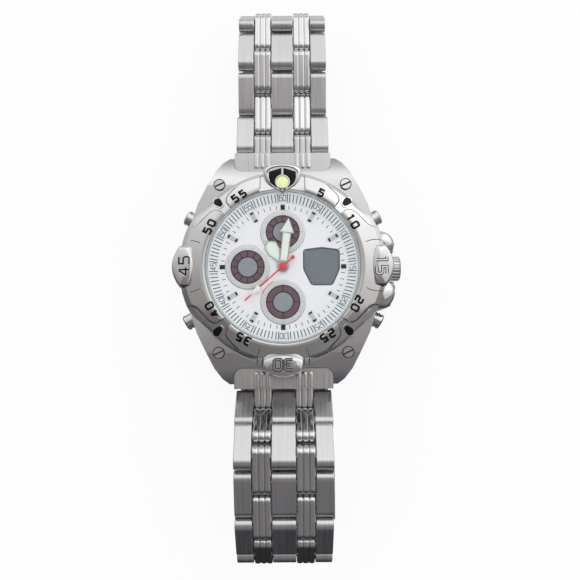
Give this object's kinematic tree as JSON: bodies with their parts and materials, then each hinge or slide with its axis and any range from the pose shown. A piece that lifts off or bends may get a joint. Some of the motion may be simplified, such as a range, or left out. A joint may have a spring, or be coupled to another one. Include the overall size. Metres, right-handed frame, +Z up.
{
  "type": "wristwatch with hands and digital display",
  "caption": "Steel sports wristwatch with hands, small dials, a digital window, pushers and a crown, on a closed link bracelet with a fold-over clasp.",
  "frame": {"origin": "centre of the watch's box on the surface that it lies on", "axes": "+Y to 12 o'clock along the bracelet, +X to 3 o'clock and the crown, +Z up out of the dial"},
  "size_m": [0.0504, 0.1294, 0.0285],
  "materials": {
    "brushed": "brushed",
    "polished": "polished",
    "glass": "clear",
    "dial_white": "satin",
    "maroon": "satin",
    "display": "glossy",
    "black_plastic": "matte",
    "board": "matte",
    "brass": "plain",
    "rubber": "matte",
    "hand_lume": "satin",
    "hand_red": "gloss"
  },
  "bodies": {
    "root": {"case_middle": "polished", "bezel": "polished", "case_screws": "polished", "crystal": "glass", "gaskets": "rubber", "flange_ring": "dial_white", "dial": "dial_white", "dial_appliques": "maroon", "lcd_panel": "display", "movement_holder": "black_plastic", "main_plate": "brass", "circuit_board": "board", "battery": "polished", "case_back": "brushed", "end_links": "brushed", "spring_bars": "polished", "case_tubes": "polished"},
    "plates_12_1": {"plates_12_1": "brushed"},
    "ribs_12_1": {"ribs_12_1": "polished"},
    "plates_12_2": {"plates_12_2": "brushed"},
    "ribs_12_2": {"ribs_12_2": "polished"},
    "plates_12_3": {"plates_12_3": "brushed"},
    "ribs_12_3": {"ribs_12_3": "polished"},
    "plates_12_4": {"plates_12_4": "brushed"},
    "ribs_12_4": {"ribs_12_4": "polished"},
    "plates_12_5": {"plates_12_5": "brushed"},
    "ribs_12_5": {"ribs_12_5": "polished"},
    "plates_12_6": {"plates_12_6": "brushed"},
    "ribs_12_6": {"ribs_12_6": "polished"},
    "plates_12_7": {"plates_12_7": "brushed"},
    "ribs_12_7": {"ribs_12_7": "polished"},
    "plates_12_8": {"plates_12_8": "brushed"},
    "ribs_12_8": {"ribs_12_8": "polished"},
    "plates_12_9": {"plates_12_9": "brushed"},
    "ribs_12_9": {"ribs_12_9": "polished"},
    "plates_12_10": {"plates_12_10": "brushed"},
    "plates_6_1": {"plates_6_1": "brushed"},
    "ribs_6_1": {"ribs_6_1": "polished"},
    "plates_6_2": {"plates_6_2": "brushed"},
    "ribs_6_2": {"ribs_6_2": "polished"},
    "plates_6_3": {"plates_6_3": "brushed"},
    "ribs_6_3": {"ribs_6_3": "polished"},
    "plates_6_4": {"plates_6_4": "brushed"},
    "ribs_6_4": {"ribs_6_4": "polished"},
    "plates_6_5": {"plates_6_5": "brushed"},
    "ribs_6_5": {"ribs_6_5": "polished"},
    "inner_blade": {"inner_blade": "polished"},
    "middle_blade": {"middle_blade": "polished"},
    "clasp_cover": {"clasp_cover": "brushed"},
    "safety_flap": {"safety_flap": "brushed"},
    "setting_lever": {"setting_lever": "polished"},
    "crown": {"crown": "polished"},
    "pusher_2": {"pusher_2": "polished"},
    "pusher_4": {"pusher_4": "polished"},
    "pusher_8": {"pusher_8": "polished"},
    "pusher_10": {"pusher_10": "polished"},
    "hour_hand": {"hour_hand": "hand_lume"},
    "minute_hand": {"minute_hand": "hand_lume"},
    "second_hand": {"second_hand": "hand_red"},
    "minute_wheel": {"minute_wheel": "brass"}
  },
  "joints": [
    {"name": "hinge_12_1", "type": "hinge", "parent": "root", "child": "plates_12_1", "pos_m": [-0.001, 0.02921, 0.01561], "axis": [1, 0, 0], "range_deg": [0, 10]},
    {"name": "hinge_12_2", "type": "hinge", "parent": "plates_12_1", "child": "ribs_12_1", "pos_m": [-0.001, 0.03415, 0.01401], "axis": [1, 0, 0], "range_deg": [0, 3]},
    {"name": "hinge_12_3", "type": "hinge", "parent": "ribs_12_1", "child": "plates_12_2", "pos_m": [-0.001, 0.03935, 0.01383], "axis": [1, 0, 0], "range_deg": [0, 3]},
    {"name": "hinge_12_4", "type": "hinge", "parent": "plates_12_2", "child": "ribs_12_2", "pos_m": [-0.001, 0.04447, 0.01473], "axis": [1, 0, 0], "range_deg": [0, 5]},
    {"name": "hinge_12_5", "type": "hinge", "parent": "ribs_12_2", "child": "plates_12_3", "pos_m": [-0.001, 0.04962, 0.01545], "axis": [1, 0, 0], "range_deg": [0, 27]},
    {"name": "hinge_12_6", "type": "hinge", "parent": "plates_12_3", "child": "ribs_12_3", "pos_m": [-0.001, 0.05462, 0.01402], "axis": [1, 0, 0], "range_deg": [0, 3]},
    {"name": "hinge_12_7", "type": "hinge", "parent": "ribs_12_3", "child": "plates_12_4", "pos_m": [-0.001, 0.05971, 0.01294], "axis": [1, 0, 0], "range_deg": [0, 47]},
    {"name": "hinge_12_8", "type": "hinge", "parent": "plates_12_4", "child": "ribs_12_4", "pos_m": [-0.001, 0.06261, 0.00863], "axis": [1, 0, 0], "range_deg": [0, 57]},
    {"name": "hinge_12_9", "type": "hinge", "parent": "ribs_12_4", "child": "plates_12_5", "pos_m": [-0.001, 0.06084, 0.00374], "axis": [1, 0, 0], "range_deg": [0, 55]},
    {"name": "hinge_12_10", "type": "hinge", "parent": "plates_12_5", "child": "ribs_12_5", "pos_m": [-0.001, 0.05589, 0.00213], "axis": [1, 0, 0], "range_deg": [0, 16]},
    {"name": "hinge_12_11", "type": "hinge", "parent": "ribs_12_5", "child": "plates_12_6", "pos_m": [-0.001, 0.05071, 0.00168], "axis": [1, 0, 0], "range_deg": [0, 8]},
    {"name": "hinge_12_12", "type": "hinge", "parent": "plates_12_6", "child": "ribs_12_6", "pos_m": [-0.001, 0.04551, 0.00168], "axis": [1, 0, 0], "range_deg": [0, 3]},
    {"name": "hinge_12_13", "type": "hinge", "parent": "ribs_12_6", "child": "plates_12_7", "pos_m": [-0.001, 0.04031, 0.00168], "axis": [1, 0, 0], "range_deg": [0, 3]},
    {"name": "hinge_12_14", "type": "hinge", "parent": "plates_12_7", "child": "ribs_12_7", "pos_m": [-0.001, 0.03511, 0.00168], "axis": [1, 0, 0], "range_deg": [0, 3]},
    {"name": "hinge_12_15", "type": "hinge", "parent": "ribs_12_7", "child": "plates_12_8", "pos_m": [-0.001, 0.02991, 0.00168], "axis": [1, 0, 0], "range_deg": [0, 3]},
    {"name": "hinge_12_16", "type": "hinge", "parent": "plates_12_8", "child": "ribs_12_8", "pos_m": [-0.001, 0.02471, 0.00168], "axis": [1, 0, 0], "range_deg": [0, 3]},
    {"name": "hinge_12_17", "type": "hinge", "parent": "ribs_12_8", "child": "plates_12_9", "pos_m": [-0.001, 0.01951, 0.00168], "axis": [1, 0, 0], "range_deg": [0, 3]},
    {"name": "hinge_12_18", "type": "hinge", "parent": "plates_12_9", "child": "ribs_12_9", "pos_m": [-0.001, 0.01431, 0.00168], "axis": [1, 0, 0], "range_deg": [0, 3]},
    {"name": "hinge_12_19", "type": "hinge", "parent": "ribs_12_9", "child": "plates_12_10", "pos_m": [-0.001, 0.00911, 0.00168], "axis": [1, 0, 0], "range_deg": [0, 3]},
    {"name": "hinge_6_1", "type": "hinge", "parent": "root", "child": "plates_6_1", "pos_m": [-0.001, -0.02935, 0.01561], "axis": [-1, 0, 0], "range_deg": [0, 10]},
    {"name": "hinge_6_2", "type": "hinge", "parent": "plates_6_1", "child": "ribs_6_1", "pos_m": [-0.001, -0.03296, 0.01935], "axis": [-1, 0, 0], "range_deg": [0, 3]},
    {"name": "hinge_6_3", "type": "hinge", "parent": "ribs_6_1", "child": "plates_6_2", "pos_m": [-0.001, -0.0358, 0.02372], "axis": [-1, 0, 0], "range_deg": [0, 29]},
    {"name": "hinge_6_4", "type": "hinge", "parent": "plates_6_2", "child": "ribs_6_2", "pos_m": [-0.001, -0.04025, 0.02639], "axis": [-1, 0, 0], "range_deg": [0, 45]},
    {"name": "hinge_6_5", "type": "hinge", "parent": "ribs_6_2", "child": "plates_6_3", "pos_m": [-0.001, -0.04536, 0.0254], "axis": [-1, 0, 0], "range_deg": [0, 12]},
    {"name": "hinge_6_6", "type": "hinge", "parent": "plates_6_3", "child": "ribs_6_3", "pos_m": [-0.001, -0.05024, 0.02362], "axis": [-1, 0, 0], "range_deg": [0, 3]},
    {"name": "hinge_6_7", "type": "hinge", "parent": "ribs_6_3", "child": "plates_6_4", "pos_m": [-0.001, -0.05519, 0.02202], "axis": [-1, 0, 0], "range_deg": [0, 23]},
    {"name": "hinge_6_8", "type": "hinge", "parent": "plates_6_4", "child": "ribs_6_4", "pos_m": [-0.001, -0.05929, 0.01881], "axis": [-1, 0, 0], "range_deg": [0, 17]},
    {"name": "hinge_6_9", "type": "hinge", "parent": "ribs_6_4", "child": "plates_6_5", "pos_m": [-0.001, -0.06249, 0.01472], "axis": [-1, 0, 0], "range_deg": [0, 35]},
    {"name": "hinge_6_10", "type": "hinge", "parent": "plates_6_5", "child": "ribs_6_5", "pos_m": [-0.001, -0.06303, 0.00955], "axis": [-1, 0, 0], "range_deg": [0, 12]},
    {"name": "inner_blade_hinge", "type": "hinge", "parent": "plates_12_10", "child": "inner_blade", "pos_m": [-0.001, 0.00391, 0.00168], "axis": [1, 0, 0], "range_deg": [0, 20]},
    {"name": "middle_blade_hinge", "type": "hinge", "parent": "inner_blade", "child": "middle_blade", "pos_m": [-0.001, -0.05109, 0.00327], "axis": [-1, 0, 0], "range_deg": [0, 150]},
    {"name": "cover_hinge", "type": "hinge", "parent": "middle_blade", "child": "clasp_cover", "pos_m": [-0.001, -0.01309, 0.00247], "axis": [1, 0, 0], "range_deg": [0, 150]},
    {"name": "flap_hinge", "type": "hinge", "parent": "clasp_cover", "child": "safety_flap", "pos_m": [-0.001, -0.06306, 0.00208], "axis": [-1, 0, 0], "range_deg": [0, 95]},
    {"name": "crown_pull", "type": "slide", "parent": "root", "child": "setting_lever", "axis": [1, 0, 0], "range_m": [0, 0.0012]},
    {"name": "crown_turn", "type": "hinge", "parent": "setting_lever", "child": "crown", "pos_m": [0.0217, -0.00007, 0.01651], "axis": [1, 0, 0], "continuous": true},
    {"name": "pusher_2_press", "type": "slide", "parent": "root", "child": "pusher_2", "axis": [-0.8746, -0.4848, 0], "range_m": [0, 0.0008], "stiffness_N_per_m": 800, "springref_m": -0.0003},
    {"name": "pusher_4_press", "type": "slide", "parent": "root", "child": "pusher_4", "axis": [-0.8746, 0.4848, 0], "range_m": [0, 0.0008], "stiffness_N_per_m": 800, "springref_m": -0.0003},
    {"name": "pusher_8_press", "type": "slide", "parent": "root", "child": "pusher_8", "axis": [0.8746, 0.4848, 0], "range_m": [0, 0.0008], "stiffness_N_per_m": 800, "springref_m": -0.0003},
    {"name": "pusher_10_press", "type": "slide", "parent": "root", "child": "pusher_10", "axis": [0.8746, -0.4848, 0], "range_m": [0, 0.0008], "stiffness_N_per_m": 800, "springref_m": -0.0003},
    {"name": "second_turn", "type": "hinge", "parent": "root", "child": "second_hand", "pos_m": [-0.001, -0.00007, 0.02091], "axis": [0, 0, -1], "continuous": true},
    {"name": "minute_turn", "type": "hinge", "parent": "root", "child": "minute_hand", "pos_m": [-0.001, -0.00007, 0.02091], "axis": [0, 0, -1], "continuous": true},
    {"name": "hour_turn", "type": "hinge", "parent": "root", "child": "hour_hand", "pos_m": [-0.001, -0.00007, 0.02091], "axis": [0, 0, -1], "continuous": true},
    {"name": "minute_wheel_turn", "type": "hinge", "parent": "root", "child": "minute_wheel", "pos_m": [-0.00445, 0.00282, 0.02091], "axis": [0, 0, -1], "continuous": true}
  ],
  "couplings": [
    {"joint": "minute_turn", "follows": "second_turn", "ratio": 0.016667},
    {"joint": "hour_turn", "follows": "second_turn", "ratio": 0.0013889},
    {"joint": "minute_wheel_turn", "follows": "second_turn", "ratio": -0.0055556},
    {"joint": "cover_hinge", "follows": "middle_blade_hinge", "ratio": 1}
  ]
}
